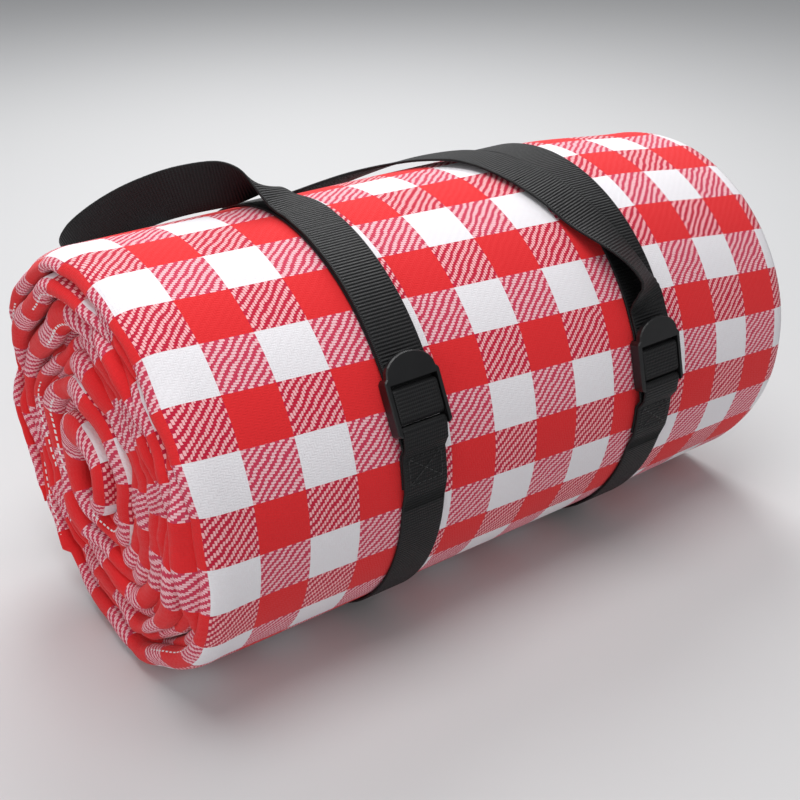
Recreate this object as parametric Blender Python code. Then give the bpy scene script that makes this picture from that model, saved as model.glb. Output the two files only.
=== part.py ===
"""Rolled picnic blanket in a two-buckle webbing carrier.

The blanket is a three-layer sheet (printed face cloth, foam, waterproof backing), folded four deep
like an accordion and rolled up. One length of webbing carries it: on each side it is sewn round the
bottom bar of a ladder-lock buckle, goes once round the roll, threads over the buckle's middle bar,
and runs on as the carry handle to the other buckle.

Frame: +X along the roll, +Z up, the front with the buckles at -Y. The origin is the middle of the
base, where the straps' undersides rest. Angles round the roll are in degrees from the top (0)
towards the front (90), the bottom (180) and the back (270).
"""
import math

import bmesh
import bpy
from mathutils import Matrix, Vector

# Driving dimensions, metres
WEB_WIDTH = 0.025
WEB_THICK = 0.0014
GAP = 0.0003
ROLL_RADIUS = 0.107
ROLL_LENGTH = 0.386
CORE_RADIUS = 0.008
FOLD_LAYERS = 4
PACK_THICK = 0.0178
CLOTH_THICK = 0.0012
FOAM_THICK = 0.0020
BINDING_LENGTH = 0.004
SIDES_PER_TURN = 20
FLAT_ANGLE = 360.0 / SIDES_PER_TURN
TAIL_ANGLE = 234.0
TAIL_SQUEEZE = 0.45

# Where the roll's axis is: its flat underside lies on the straps
BASE_HEIGHT = WEB_THICK + GAP
AXIS_HEIGHT = BASE_HEIGHT + ROLL_RADIUS * math.cos(math.radians(FLAT_ANGLE))

# Straps round the roll: radii of the middle of each layer of webbing
LOOP_RADIUS = (AXIS_HEIGHT - WEB_THICK / 2) / math.cos(math.radians(FLAT_ANGLE))
UPPER_RADIUS = LOOP_RADIUS + 0.002
LEFT_STRAP_X = -0.0752
RIGHT_STRAP_X = 0.0775
LEFT_BUCKLE_ANGLE = 63.5
RIGHT_BUCKLE_ANGLE = 75.0
SEWN_LENGTH = 0.026
# The strap climbs over its own sewn end between these distances below the buckle
SEWN_RAMP = (0.0278, 0.0370)

# Ladder-lock buckle. u runs down the strap from the tab's tip, h out from the underside.
BUCKLE_LENGTH = 0.0376
BUCKLE_HEIGHT = 0.0068
BUCKLE_HALF_WIDTH = 0.0153
CHANNEL_HALF_WIDTH = 0.0131
CHANNEL_TOP = 0.0037
TAB_LENGTH = 0.010
TAB_HALF_WIDTH = 0.0138
UPPER_SLOT = (0.0132, 0.0170)
LOWER_SLOT = (0.0306, 0.0343)
MIDDLE_BAR_TOP = 0.0049
PIVOT_U = 0.0360
PIVOT_H = 0.0032
PIVOT_RADIUS = 0.00145
THREAD_END_U = 0.0090
STRAND_END_U = 0.0084

# Handle: it hinges on the top of the strap, just in front of the roll's crest
HANDLE_ANGLE = 8.0
HANDLE_RIGHT_X = 0.050
# The right tail is twisted, in degrees, over these distances up from its buckle
RIGHT_TWIST = 34.0
TWIST_START = 0.014
TWIST_HOLD = 0.014
TWIST_END = 0.048
# The handle's route from left to right: x, angle, height above the upper strap layer, and the
# direction across the webbing towards the edge that is on the right as it leaves the left buckle
HANDLE_ROUTE = (
    (-0.0752, 7.8, 0.0000, (1.0, 0.0, 0.0)),
    (-0.0754, 5.0, 0.0002, (1.0, 0.05, 0.0)),
    (-0.0764, 1.8, 0.0006, (0.96, 0.25, 0.0)),
    (-0.0785, -2.6, 0.0024, (0.88, 0.45, -0.1)),
    (-0.0817, -6.8, 0.0068, (0.85, 0.35, -0.32)),
    (-0.0882, -11.4, 0.0093, (0.66, 0.05, -0.72)),
    (-0.0982, -16.6, 0.0102, (0.28, -0.18, -0.93)),
    (-0.1122, -22.0, 0.0106, (0.0, -0.12, -0.98)),
    (-0.1240, -28.0, 0.0102, (0.0, 0.05, -0.99)),
    (-0.1340, -35.0, 0.0097, (0.0, 0.12, -0.98)),
    (-0.1435, -43.5, 0.0098, (0.0, 0.05, -1.0)),
    (-0.1520, -51.5, 0.0102, (0.0, -0.3, -0.95)),
    (-0.1545, -57.5, 0.0104, (0.0, -0.6, -0.8)),
    (-0.1485, -62.0, 0.0104, (0.0, -0.72, -0.69)),
    (-0.1370, -63.8, 0.0094, (0.0, -0.6, -0.8)),
    (-0.1130, -62.0, 0.0056, (0.0, -0.1, -0.99)),
    (-0.0780, -55.5, 0.0022, (0.05, 0.52, -0.85)),
    (-0.0400, -45.0, 0.0014, (0.1, 0.7, -0.7)),
    (-0.0050, -33.0, 0.0014, (0.2, 0.84, -0.54)),
    (0.0220, -21.0, 0.0012, (0.4, 0.85, -0.3)),
    (0.0380, -9.0, 0.0010, (0.7, 0.65, -0.1)),
    (0.0462, 0.0, 0.0004, (0.95, 0.3, 0.0)),
    (0.0500, 7.8, 0.0000, (1.0, 0.1, 0.0)),
)


# ---------------------------------------------------------------- helpers

def clear_scene():
    for item in list(bpy.data.objects):
        bpy.data.objects.remove(item, do_unlink=True)


def make_material(name, colour, roughness):
    material = bpy.data.materials.new(name)
    material.use_nodes = True
    shader = material.node_tree.nodes["Principled BSDF"]
    shader.inputs["Base Color"].default_value = (*colour, 1.0)
    shader.inputs["Roughness"].default_value = roughness
    material.diffuse_color = (*colour, 1.0)
    return material


def add_object(name, verts, faces, material):
    """Make a closed solid whose faces are turned outwards."""
    mesh = bpy.data.meshes.new(name)
    mesh.from_pydata([tuple(v) for v in verts], [], faces)
    edit = bmesh.new()
    edit.from_mesh(mesh)
    bmesh.ops.recalc_face_normals(edit, faces=edit.faces)
    edit.to_mesh(mesh)
    edit.free()
    mesh.materials.append(material)
    solid = bpy.data.objects.new(name, mesh)
    bpy.context.scene.collection.objects.link(solid)
    return solid


def loft(name, rings, material):
    """Join equal rings of points end to end and cap both ends."""
    count = len(rings[0])
    verts = [point for ring in rings for point in ring]
    faces = []
    for k in range(len(rings) - 1):
        for i in range(count):
            j = (i + 1) % count
            faces.append((k * count + i, k * count + j, (k + 1) * count + j, (k + 1) * count + i))
    faces.append(tuple(range(count)))
    faces.append(tuple((len(rings) - 1) * count + i for i in range(count)))
    return add_object(name, verts, faces, material)


def on_roll(x, angle, radius):
    """The point at an angle round the roll's axis."""
    a = math.radians(angle)
    return Vector((x, -radius * math.sin(a), AXIS_HEIGHT + radius * math.cos(a)))


def set_origin(solid, point):
    """Move an object's origin, and leave its surface where it is."""
    solid.data.transform(Matrix.Translation(-point))
    solid.location = point


# ---------------------------------------------------------------- blanket

def turn_depth(turn):
    """How far the pack's outer face has sunk below the roll's surface, in pack thicknesses.

    The outermost turn stays round until it dips under the squeezed tail. Further in, the turns
    become an even spiral.
    """
    side = 1.0 / SIDES_PER_TURN
    if turn <= 1.0 - 2.0 * side:
        return 0.0
    if turn <= 1.0:
        return TAIL_SQUEEZE * min((turn - 1.0 + 2.0 * side) / side, 1.0)
    if turn <= 1.9:
        return TAIL_SQUEEZE + (1.0 - TAIL_SQUEEZE) * (turn - 1.0) / 0.9
    return turn - 0.9


def flatten(angle):
    """The squash of the roll's underside where it rests."""
    return math.cos(math.radians(FLAT_ANGLE)) if round(angle) % 360 == 180 else 1.0


def pack_ring(outline, turn):
    """Place a pack cross-section, (x, height from the inner face), at a turn of the spiral."""
    angle = TAIL_ANGLE + 360.0 * turn
    outer = ROLL_RADIUS - PACK_THICK * turn_depth(turn)
    inner = ROLL_RADIUS - PACK_THICK * turn_depth(turn + 1.0)
    scale = flatten(angle)
    return [on_roll(x, angle, scale * (inner + (outer - inner) * h / PACK_THICK)) for x, h in outline]


def folded_outline(near, far):
    """Cross-section of a layer of the accordion fold, from depth near to depth far in the sheet."""
    left = -ROLL_LENGTH / 2
    right = ROLL_LENGTH / 2
    slit = right - PACK_THICK / FOLD_LAYERS

    def face(d):
        return [(right, PACK_THICK - GAP / 2 - d),
                (left + d, PACK_THICK - GAP / 2 - d),
                (left + d, PACK_THICK / 2 + GAP / 2 + d),
                (slit + d, PACK_THICK / 2 + GAP / 2 + d),
                (slit + d, PACK_THICK / 2 - GAP / 2 - d),
                (left + d, PACK_THICK / 2 - GAP / 2 - d),
                (left + d, GAP / 2 + d),
                (right, GAP / 2 + d)]

    return face(near) + face(far)[::-1]


def build_blanket(materials):
    last_turn = (ROLL_RADIUS - CORE_RADIUS) / PACK_THICK - 0.1
    steps = int(last_turn * SIDES_PER_TURN)
    turns = [k / SIDES_PER_TURN for k in range(steps + 1)]
    foam_start = CLOTH_THICK + GAP
    backing_start = foam_start + FOAM_THICK + GAP
    sheet_end = PACK_THICK / FOLD_LAYERS - GAP
    layers = (("blanket_face_cloth", 0.0, CLOTH_THICK, "face_cloth"),
              ("blanket_foam", foam_start, foam_start + FOAM_THICK, "foam"),
              ("blanket_backing", backing_start, sheet_end, "backing"))
    for name, near, far, slot in layers:
        outline = folded_outline(near, far)
        loft(name, [pack_ring(outline, turn) for turn in turns], materials[slot])
    build_binding(folded_outline(0.0, sheet_end), materials["binding"])


def build_binding(outline, material):
    """The bound edge across the blanket's outer end, a short run on from the sheets."""
    ring = pack_ring(outline, 0.0)
    a = math.radians(TAIL_ANGLE)
    along = Vector((0.0, math.cos(a), math.sin(a)))
    near = [point + along * GAP for point in ring]
    far = [point + along * (GAP + BINDING_LENGTH) for point in ring]
    loft("blanket_end_binding", [near, far], material)


# ---------------------------------------------------------------- webbing

def strap_from_path(name, path, centre_x, material):
    """Webbing that follows a path in a plane across the roll: its middle line, thickened."""
    half = WEB_THICK / 2
    rings = []
    for k, point in enumerate(path):
        before = (point - path[max(k - 1, 0)])
        after = (path[min(k + 1, len(path) - 1)] - point)
        before = before.normalized() if before.length else after.normalized()
        after = after.normalized() if after.length else before
        tangent = (before + after).normalized()
        mitre = half / max(tangent.dot(after), 0.5)
        normal = Vector((0.0, -tangent.z, tangent.y)) * mitre
        side = Vector((WEB_WIDTH / 2, 0.0, 0.0))
        middle = Vector((centre_x, point.y, point.z))
        rings.append([middle - side - normal, middle + side - normal,
                      middle + side + normal, middle - side + normal])
    return loft(name, rings, material)


def strap_from_frames(name, frames, material):
    """Webbing that twists in space: a list of (middle, direction across) pairs."""
    rings = []
    last = len(frames) - 1
    for k, (middle, across) in enumerate(frames):
        tangent = (frames[min(k + 1, last)][0] - frames[max(k - 1, 0)][0]).normalized()
        across = (across - tangent * across.dot(tangent)).normalized()
        normal = across.cross(tangent)
        side = across * WEB_WIDTH / 2
        up = normal * WEB_THICK / 2
        rings.append([middle - side - up, middle + side - up, middle + side + up, middle - side + up])
    return loft(name, rings, material)


def buckle_point(angle, u, h, x=0.0):
    """A point in a buckle's own measure: u down from the tab's tip, h out from its underside."""
    a = math.radians(angle)
    outward = Vector((0.0, -math.sin(a), math.cos(a)))
    down = Vector((0.0, -math.cos(a), -math.sin(a)))
    base = LOOP_RADIUS - WEB_THICK / 2
    origin = Vector((x, 0.0, AXIS_HEIGHT)) + outward * base
    return origin + outward * h + down * (u - BUCKLE_LENGTH / 2)


def u_to_angle(buckle_angle, u):
    return buckle_angle + math.degrees((u - BUCKLE_LENGTH / 2) / LOOP_RADIUS)


def loop_path(buckle_angle):
    """Middle line of the strap from under the buckle, over the top, round, and over its bottom bar.

    The sewn end comes back between the strap and the roll.
    """
    half = WEB_THICK / 2
    path = [buckle_point(buckle_angle, STRAND_END_U, half)]
    start = u_to_angle(buckle_angle, -0.004)
    finish = u_to_angle(buckle_angle, BUCKLE_LENGTH + SEWN_RAMP[1]) - 360.0
    step = 6.0
    steps = range(math.floor(start / step), math.ceil(finish / step) - 1, -1)
    for angle in [start] + [step * k for k in steps] + [finish]:
        from_bottom = abs((angle % 360.0) - 180.0)
        radius = LOOP_RADIUS
        if from_bottom < FLAT_ANGLE:
            radius = (AXIS_HEIGHT - half) / math.cos(math.radians(from_bottom))
        path.append(on_roll(0.0, angle, radius))
    upper = LOOP_RADIUS + WEB_THICK + GAP
    for k in range(4):
        u = BUCKLE_LENGTH + SEWN_RAMP[0] + (0.010 - SEWN_RAMP[0]) * k / 3
        path.append(on_roll(0.0, u_to_angle(buckle_angle, u), upper))
    path.append(buckle_point(buckle_angle, BUCKLE_LENGTH + 0.0062, 0.0030))
    ring = PIVOT_H - half
    for k in range(6, -1, -1):
        turn = math.radians(30.0 * k)
        path.append(buckle_point(buckle_angle, PIVOT_U - ring * math.sin(turn), PIVOT_H - ring * math.cos(turn)))
    path.append(buckle_point(buckle_angle, BUCKLE_LENGTH + 0.006, half))
    for k in range(4):
        u = BUCKLE_LENGTH + 0.010 + (SEWN_LENGTH - 0.010) * k / 3
        path.append(on_roll(0.0, u_to_angle(buckle_angle, u), LOOP_RADIUS))
    return path


def thread_path(buckle_angle):
    """Middle line of the webbing in the buckle: in low, up, over the middle bar, down and out."""
    half = WEB_THICK / 2
    over = MIDDLE_BAR_TOP + GAP + half
    out = CHANNEL_TOP - GAP - half
    rise = LOWER_SLOT[0] + 0.0004 + half
    drop = UPPER_SLOT[1] - 0.0004 - half
    corners = [(THREAD_END_U, half), (rise, half), (rise, over), (drop, over), (drop, out), (THREAD_END_U, out)]
    return [buckle_point(buckle_angle, u, h) for u, h in corners]


def build_side(side, centre_x, buckle_angle, buckle_mesh, materials):
    """One loop of the carrier: its strap, stitching, buckle and the webbing threaded through it."""
    strap_from_path(side + "_loop_strap", loop_path(buckle_angle), centre_x, materials["webbing"])
    threaded = strap_from_path(side + "_strap_in_buckle", thread_path(buckle_angle), centre_x,
                               materials["webbing"])
    set_origin(threaded, buckle_point(buckle_angle, PIVOT_U, PIVOT_H, centre_x))
    buckle = bpy.data.objects.new(side + "_buckle", buckle_mesh)
    bpy.context.scene.collection.objects.link(buckle)
    buckle.matrix_world = buckle_matrix(centre_x, buckle_angle)
    build_stitches(side + "_box_stitch", centre_x, buckle_angle, materials["thread"])


def build_stitches(name, centre_x, buckle_angle, material):
    """A sewn box with a cross in it, just proud of the folded-back webbing below a buckle."""
    thread = 0.0010
    depth = 0.0006
    half_x = 0.0095
    half_u = 0.0070
    inner_x = half_x - thread
    inner_u = half_u - thread
    corners = ((-1, -1), (1, -1), (1, 1), (-1, 1))
    flat = [(sx * half_x, su * half_u) for sx, su in corners]
    for k, (sx, su) in enumerate(corners):
        nx, nu = corners[(k + 1) % 4]
        mid_x = (sx + nx) / 2
        mid_u = (su + nu) / 2
        shift_x = thread * (nx - sx) / 2
        shift_u = thread * (nu - su) / 2
        flat.append((sx * inner_x + shift_x, su * inner_u + shift_u))
        flat.append((nx * inner_x - shift_x, nu * inner_u - shift_u))
        flat.append((mid_x * thread, mid_u * thread))
    faces = []
    for k in range(4):
        n = (k + 1) % 4
        near, far, tip = (4 + 3 * k, 5 + 3 * k, 6 + 3 * k)
        faces.append((k, n, far, near))
        faces.append((n, 4 + 3 * n, far))
        faces.append((far, 4 + 3 * n, 6 + 3 * n, tip))
    faces.append((6, 9, 12, 15))
    centre = on_roll(centre_x, u_to_angle(buckle_angle, BUCKLE_LENGTH + 0.0175),
                     LOOP_RADIUS + 1.5 * WEB_THICK + 2 * GAP)
    a = math.radians(u_to_angle(buckle_angle, BUCKLE_LENGTH + 0.0175))
    outward = Vector((0.0, -math.sin(a), math.cos(a)))
    up = Vector((0.0, math.cos(a), math.sin(a)))
    base = [centre + Vector((x, 0, 0)) + up * u for x, u in flat]
    verts = base + [point + outward * depth for point in base]
    count = len(base)
    solid_faces = faces + [tuple(i + count for i in face) for face in faces]
    solid_faces += border_walls(faces, count)
    return add_object(name, verts, solid_faces, material)


def border_walls(faces, count):
    """Side walls for a flat pattern that has been copied up by count vertices."""
    edges = {}
    for face in faces:
        for k, a in enumerate(face):
            b = face[(k + 1) % len(face)]
            edges[(min(a, b), max(a, b))] = edges.get((min(a, b), max(a, b)), 0) + 1
    return [(a, b, b + count, a + count) for (a, b), uses in edges.items() if uses == 1]


# ---------------------------------------------------------------- buckle

def buckle_matrix(centre_x, buckle_angle):
    """A buckle's own axes: x across, y up the strap, z outwards, from its bottom bar."""
    a = math.radians(buckle_angle)
    up = Vector((0.0, math.cos(a), math.sin(a)))
    outward = Vector((0.0, -math.sin(a), math.cos(a)))
    turn = Matrix((Vector((1.0, 0.0, 0.0)), up, outward)).transposed()
    return Matrix.Translation(buckle_point(buckle_angle, PIVOT_U, PIVOT_H, centre_x)) @ turn.to_4x4()


def in_buckle(x, u, h):
    return Vector((x, PIVOT_U - u, h - PIVOT_H))


def prism_across(name, outline, half_width, material):
    """A side view, (u, h), made as wide as the buckle's inside."""
    rings = [[in_buckle(x, u, h) for u, h in outline] for x in (-half_width, half_width)]
    return loft(name, rings, material)


def buckle_blank(material):
    """The buckle's outline seen from outside, with its arched tab, as a block."""
    corner = 0.0015
    outline = [(BUCKLE_HALF_WIDTH, BUCKLE_LENGTH - corner), (BUCKLE_HALF_WIDTH, TAB_LENGTH + corner)]
    for k in range(13):
        a = math.pi * k / 12
        outline.append((TAB_HALF_WIDTH * math.cos(a), TAB_LENGTH * (1.0 - math.sin(a))))
    outline += [(-BUCKLE_HALF_WIDTH, TAB_LENGTH + corner), (-BUCKLE_HALF_WIDTH, BUCKLE_LENGTH - corner)]
    outline += [(-BUCKLE_HALF_WIDTH + corner, BUCKLE_LENGTH), (BUCKLE_HALF_WIDTH - corner, BUCKLE_LENGTH)]
    rings = [[in_buckle(x, u, h) for x, u in outline] for h in (0.0, BUCKLE_HEIGHT)]
    return loft("buckle_blank", rings, material)


def apply_booleans(blank, steps):
    """Cut and join the pieces one after another, and keep the result as a mesh."""
    for piece, operation in steps:
        boolean = blank.modifiers.new(piece.name, "BOOLEAN")
        boolean.operation = operation
        boolean.solver = "EXACT"
        boolean.object = piece
    graph = bpy.context.evaluated_depsgraph_get()
    mesh = bpy.data.meshes.new_from_object(blank.evaluated_get(graph))
    for piece, _ in steps:
        bpy.data.objects.remove(piece, do_unlink=True)
    bpy.data.objects.remove(blank, do_unlink=True)
    return mesh


def make_buckle_mesh(material):
    """Two rails, the tab with its bar, a flat middle bar, and a round bottom bar."""
    past = 0.002
    blank = buckle_blank(material)
    bevel = blank.modifiers.new("rounding", "BEVEL")
    bevel.width = 0.0006
    bevel.segments = 1
    bevel.limit_method = "ANGLE"
    bevel.angle_limit = math.radians(40.0)
    under_tab = prism_across("under_tab", [(-past, -past), (TAB_LENGTH, -past), (TAB_LENGTH, CHANNEL_TOP),
                                           (-past, CHANNEL_TOP)], BUCKLE_HALF_WIDTH + past, material)
    channel = prism_across("channel", [(-past, -past), (BUCKLE_LENGTH + past, -past),
                                       (BUCKLE_LENGTH + past, BUCKLE_HEIGHT + past),
                                       (UPPER_SLOT[0], BUCKLE_HEIGHT + past),
                                       (UPPER_SLOT[0], CHANNEL_TOP), (-past, CHANNEL_TOP)],
                           CHANNEL_HALF_WIDTH, material)
    middle_bar = prism_across("middle_bar", [(UPPER_SLOT[1], CHANNEL_TOP), (LOWER_SLOT[0], CHANNEL_TOP),
                                             (LOWER_SLOT[0], MIDDLE_BAR_TOP),
                                             (UPPER_SLOT[1], MIDDLE_BAR_TOP)],
                              CHANNEL_HALF_WIDTH + 0.001, material)
    round_bar = [(PIVOT_U + PIVOT_RADIUS * math.cos(math.radians(a)),
                  PIVOT_H + PIVOT_RADIUS * math.sin(math.radians(a))) for a in range(0, 360, 30)]
    bottom_bar = prism_across("bottom_bar", round_bar, CHANNEL_HALF_WIDTH + 0.001, material)
    return apply_booleans(blank, ((under_tab, "DIFFERENCE"), (channel, "DIFFERENCE"),
                                  (middle_bar, "UNION"), (bottom_bar, "UNION")))


# ---------------------------------------------------------------- tails and handle

def smooth_route(points, steps):
    """A smooth curve through tuples of numbers, read at even steps between them."""
    rows = [Vector(p) for p in points]
    rows = [rows[0] * 2 - rows[1]] + rows + [rows[-1] * 2 - rows[-2]]
    curve = []
    for k in range(1, len(rows) - 2):
        p0, p1, p2, p3 = rows[k - 1:k + 3]
        for i in range(steps):
            t = i / steps
            curve.append(((p1 * 2) + (p2 - p0) * t + (p0 * 2 - p1 * 5 + p2 * 4 - p3) * t ** 2
                          + (p1 * 3 - p0 - p2 * 3 + p3) * t ** 3) * 0.5)
    curve.append(rows[-2])
    return curve


def ease(share):
    """0 below 0, 1 above 1, and smooth between them."""
    share = min(max(share, 0.0), 1.0)
    return share * share * (3.0 - 2.0 * share)


def tail_frame(ends, angle, twist):
    """The tail's middle and direction across at an angle. A twist lifts its left edge off the loop."""
    first, top_angle, buckle_x, top_x = ends
    share = (first - angle) / (first - top_angle)
    run = math.radians(first - angle) * UPPER_RADIUS
    tilt = math.radians(twist) * ease(run / TWIST_START) * (1.0 - ease((run - TWIST_HOLD) / TWIST_END))
    x = buckle_x + (top_x - buckle_x) * share + (1.0 - math.cos(tilt)) * WEB_WIDTH / 2
    middle = on_roll(x, angle, UPPER_RADIUS + math.sin(tilt) * WEB_WIDTH / 2)
    a = math.radians(angle)
    outward = Vector((0.0, -math.sin(a), math.cos(a)))
    return middle, Vector((math.cos(tilt), 0.0, 0.0)) - outward * math.sin(tilt)


def build_tail(name, buckle_angle, buckle_x, top_x, twist, material):
    """The webbing that lies on a loop strap, from its buckle up to the handle's fold."""
    top_angle = HANDLE_ANGLE + math.degrees(GAP / UPPER_RADIUS)
    start = buckle_point(buckle_angle, STRAND_END_U, CHANNEL_TOP - GAP - WEB_THICK / 2, buckle_x)
    ends = (u_to_angle(buckle_angle, -0.004), top_angle, buckle_x, top_x)
    frames = [(start, Vector((1, 0, 0)))]
    count = 18
    for k in range(count + 1):
        frames.append(tail_frame(ends, ends[0] + (top_angle - ends[0]) * k / count, twist))
    strap_from_frames(name, frames, material)


def build_handle(material):
    """The carry handle, flopped back over the roll, its left end standing in a loop."""
    rows = [(*on_roll(x, angle, UPPER_RADIUS + lift), *across) for x, angle, lift, across in HANDLE_ROUTE]
    curve = smooth_route([(r[0], r[1], r[2]) for r in rows], 4)
    turns = smooth_route([(r[3], r[4], r[5]) for r in rows], 4)
    handle = strap_from_frames("carry_handle", list(zip(curve, turns)), material)
    set_origin(handle, on_roll(0.0, HANDLE_ANGLE, UPPER_RADIUS + WEB_THICK / 2))


def main():
    clear_scene()
    materials = {
        "face_cloth": make_material("face_cloth", (0.80, 0.10, 0.10), 0.9),
        "foam": make_material("foam", (0.85, 0.85, 0.83), 0.95),
        "backing": make_material("backing", (0.72, 0.73, 0.75), 0.4),
        "binding": make_material("binding", (0.70, 0.06, 0.08), 0.85),
        "webbing": make_material("webbing", (0.03, 0.03, 0.032), 0.6),
        "buckle": make_material("buckle", (0.02, 0.02, 0.022), 0.4),
        "thread": make_material("thread", (0.05, 0.05, 0.055), 0.7),
    }
    build_blanket(materials)
    buckle_mesh = make_buckle_mesh(materials["buckle"])
    build_side("left", LEFT_STRAP_X, LEFT_BUCKLE_ANGLE, buckle_mesh, materials)
    build_side("right", RIGHT_STRAP_X, RIGHT_BUCKLE_ANGLE, buckle_mesh, materials)
    build_tail("left_tail_strap", LEFT_BUCKLE_ANGLE, LEFT_STRAP_X, LEFT_STRAP_X, 0.0,
               materials["webbing"])
    build_tail("right_tail_strap", RIGHT_BUCKLE_ANGLE, RIGHT_STRAP_X, HANDLE_RIGHT_X, RIGHT_TWIST,
               materials["webbing"])
    build_handle(materials["webbing"])


main()
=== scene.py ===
"""Looks of the rolled picnic blanket in its webbing carrier, laid over the CAD frame.

The blanket is one real sheet, folded four deep like an accordion and rolled up, so its folds show at
the roll's ends. The carrier is one run of ribbed webbing, cut only where a joint needs it.
Angles round the roll are in degrees from the top (0) towards the front (90). Lengths are in metres.
"""

import math

import bmesh
import bpy
import numpy as np
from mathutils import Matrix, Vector


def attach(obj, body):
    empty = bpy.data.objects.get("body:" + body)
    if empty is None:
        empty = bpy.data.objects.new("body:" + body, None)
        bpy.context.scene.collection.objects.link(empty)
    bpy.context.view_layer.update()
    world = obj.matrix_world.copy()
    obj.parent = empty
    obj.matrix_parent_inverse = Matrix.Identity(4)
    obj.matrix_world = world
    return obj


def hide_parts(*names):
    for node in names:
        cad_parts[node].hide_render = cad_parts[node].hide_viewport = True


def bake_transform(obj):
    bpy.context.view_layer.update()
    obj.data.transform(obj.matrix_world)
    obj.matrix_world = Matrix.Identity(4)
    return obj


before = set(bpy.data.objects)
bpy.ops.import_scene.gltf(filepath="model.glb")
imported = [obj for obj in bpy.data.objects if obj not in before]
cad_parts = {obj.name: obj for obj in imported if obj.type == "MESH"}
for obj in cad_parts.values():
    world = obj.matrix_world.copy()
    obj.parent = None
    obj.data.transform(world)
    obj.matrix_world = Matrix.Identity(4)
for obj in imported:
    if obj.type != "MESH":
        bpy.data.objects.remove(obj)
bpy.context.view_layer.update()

# ---------------------------------------------------------------- sizes, most shared with the CAD

WEB_WIDTH = 0.025
WEB_THICK = 0.0014
GAP = 0.0003
ROLL_RADIUS = 0.107
ROLL_HALF = 0.193
PACK_THICK = 0.0178
SHEET_PITCH = PACK_THICK / 4
SHEET_THICK = 0.00415
# The outer end of the rolled sheet lies at this angle, squeezed and tucked by shares of the pack
TAIL_ANGLE = 234.0
TAIL_SQUEEZE = 0.45
TAIL_TUCK = 0.22
# The roll rests on a flat this many degrees either side of the bottom
FLAT_ANGLE = 18.0
BASE_HEIGHT = WEB_THICK + GAP
AXIS_HEIGHT = BASE_HEIGHT + ROLL_RADIUS * math.cos(math.radians(FLAT_ANGLE))
LOOP_RADIUS = (AXIS_HEIGHT - WEB_THICK / 2) / math.cos(math.radians(FLAT_ANGLE))
UPPER_RADIUS = LOOP_RADIUS + 0.002

# In a buckle's own measure: u runs down from the tab's tip, h out from its underside
BUCKLE_LENGTH = 0.0376
PIVOT_U = 0.0360
PIVOT_H = 0.0032
CHANNEL_TOP = 0.0037
UPPER_SLOT_END = 0.0170
LOWER_SLOT_START = 0.0306
MIDDLE_BAR_TOP = 0.0049
SLOT_MARGIN = 0.0004
SEWN_LENGTH = 0.026
SEWN_RAMP = (0.0278, 0.0370)
STITCH_MIDDLE = 0.0175

# Distances up the right tail from its buckle at which its twist grows, holds and has gone
TWIST_START = 0.014
TWIST_HOLD = 0.014
TWIST_END = 0.048
HANDLE_ANGLE = 8.0
SEAM_ANGLE = 14.0
TAIL_TIP_U = -0.004
LOOP_START_U = -0.030
ROW_ANGLE = 1.5
ROW_LENGTH = 0.0009

# side, strap x, buckle angle, x where the tail reaches the handle's fold, and the tail's twist
SIDES = (("left", -0.0752, 63.5, -0.0752, 0.0), ("right", 0.0775, 75.0, 0.0500, 34.0))

# x, angle, height above the upper strap layer, and the direction across the webbing
HANDLE_ROUTE = (
    (-0.0752, 7.8, 0.0000, (1.0, 0.0, 0.0)),
    (-0.0754, 5.0, 0.0002, (1.0, 0.05, 0.0)),
    (-0.0764, 1.8, 0.0006, (0.96, 0.25, 0.0)),
    (-0.0785, -2.6, 0.0024, (0.88, 0.45, -0.1)),
    (-0.0817, -6.8, 0.0068, (0.85, 0.35, -0.32)),
    (-0.0882, -11.4, 0.0093, (0.66, 0.05, -0.72)),
    (-0.0982, -16.6, 0.0102, (0.28, -0.18, -0.93)),
    (-0.1122, -22.0, 0.0106, (0.0, -0.12, -0.98)),
    (-0.1240, -28.0, 0.0102, (0.0, 0.05, -0.99)),
    (-0.1340, -35.0, 0.0097, (0.0, 0.12, -0.98)),
    (-0.1435, -43.5, 0.0098, (0.0, 0.05, -1.0)),
    (-0.1520, -51.5, 0.0102, (0.0, -0.3, -0.95)),
    (-0.1545, -57.5, 0.0104, (0.0, -0.6, -0.8)),
    (-0.1485, -62.0, 0.0104, (0.0, -0.72, -0.69)),
    (-0.1370, -63.8, 0.0094, (0.0, -0.6, -0.8)),
    (-0.1130, -62.0, 0.0056, (0.0, -0.1, -0.99)),
    (-0.0780, -55.5, 0.0022, (0.05, 0.52, -0.85)),
    (-0.0400, -45.0, 0.0014, (0.1, 0.7, -0.7)),
    (-0.0050, -33.0, 0.0014, (0.2, 0.84, -0.54)),
    (0.0220, -21.0, 0.0012, (0.4, 0.85, -0.3)),
    (0.0380, -9.0, 0.0010, (0.7, 0.65, -0.1)),
    (0.0462, 0.0, 0.0004, (0.95, 0.3, 0.0)),
    (0.0500, 7.8, 0.0000, (1.0, 0.1, 0.0)),
)


# ---------------------------------------------------------------- shader helpers

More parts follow.
